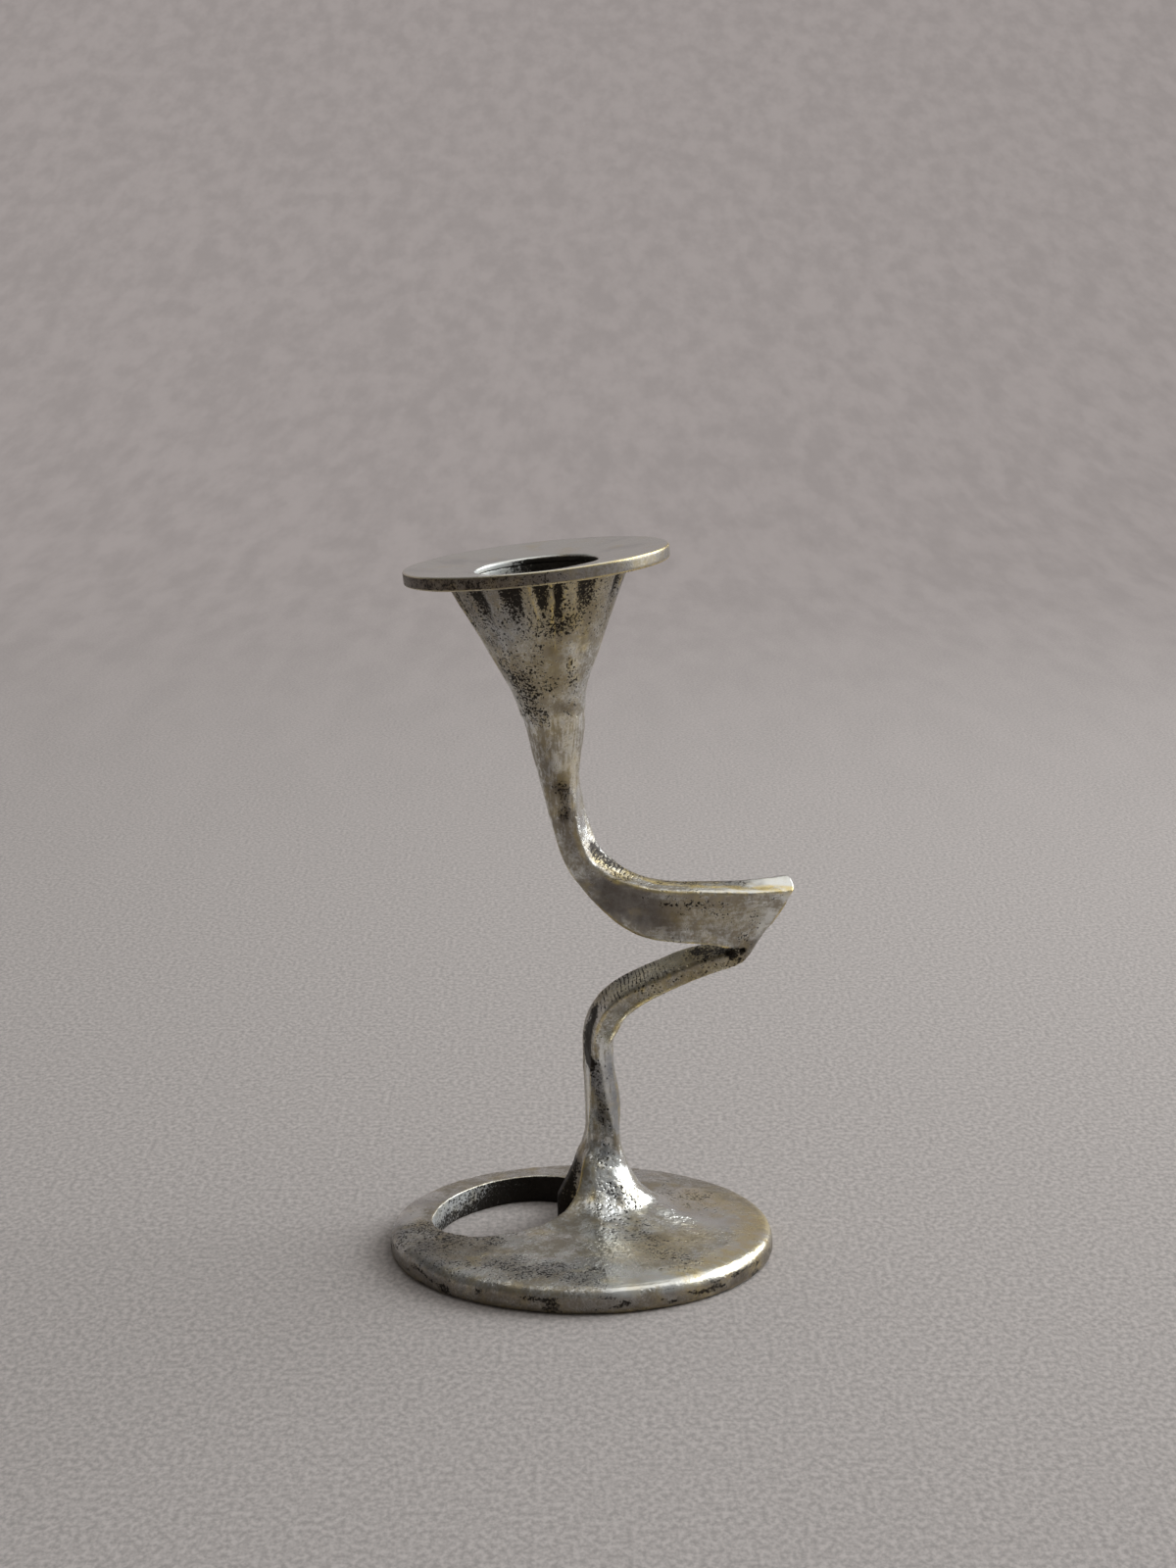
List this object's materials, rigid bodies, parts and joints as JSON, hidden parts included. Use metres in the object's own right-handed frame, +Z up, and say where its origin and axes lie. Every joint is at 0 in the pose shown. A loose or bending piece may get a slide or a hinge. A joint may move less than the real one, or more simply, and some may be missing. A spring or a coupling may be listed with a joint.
{
  "type": "spiral candle holder",
  "caption": "Free-standing candle holder: a pierced round foot, a leg that folds out and back as an open spiral, and a leaning fluted cup with a drip pan for a dinner candle.",
  "frame": {"origin": "centre of the foot's flat underside", "axes": "+Z up; +X towards the tip of the ribbon; +Y away from the front, which shows the fold and the ribbon"},
  "size_m": [0.0784, 0.074, 0.1375],
  "materials": {
    "silvered_brass": "worn silver plate over cast brass, satin, with dark patina in the hollows",
    "plain_brass": "drawn brass rod"
  },
  "bodies": {
    "root": {"foot": "silvered_brass", "leg": "silvered_brass", "arm": "silvered_brass", "ribbon": "silvered_brass", "neck": "silvered_brass", "candle_cup": "silvered_brass", "drip_pan": "silvered_brass", "foot_dowel": "plain_brass", "leg_dowel": "plain_brass", "fold_dowel": "plain_brass", "ribbon_dowel": "plain_brass", "neck_dowel": "plain_brass"}
  },
  "joints": []
}
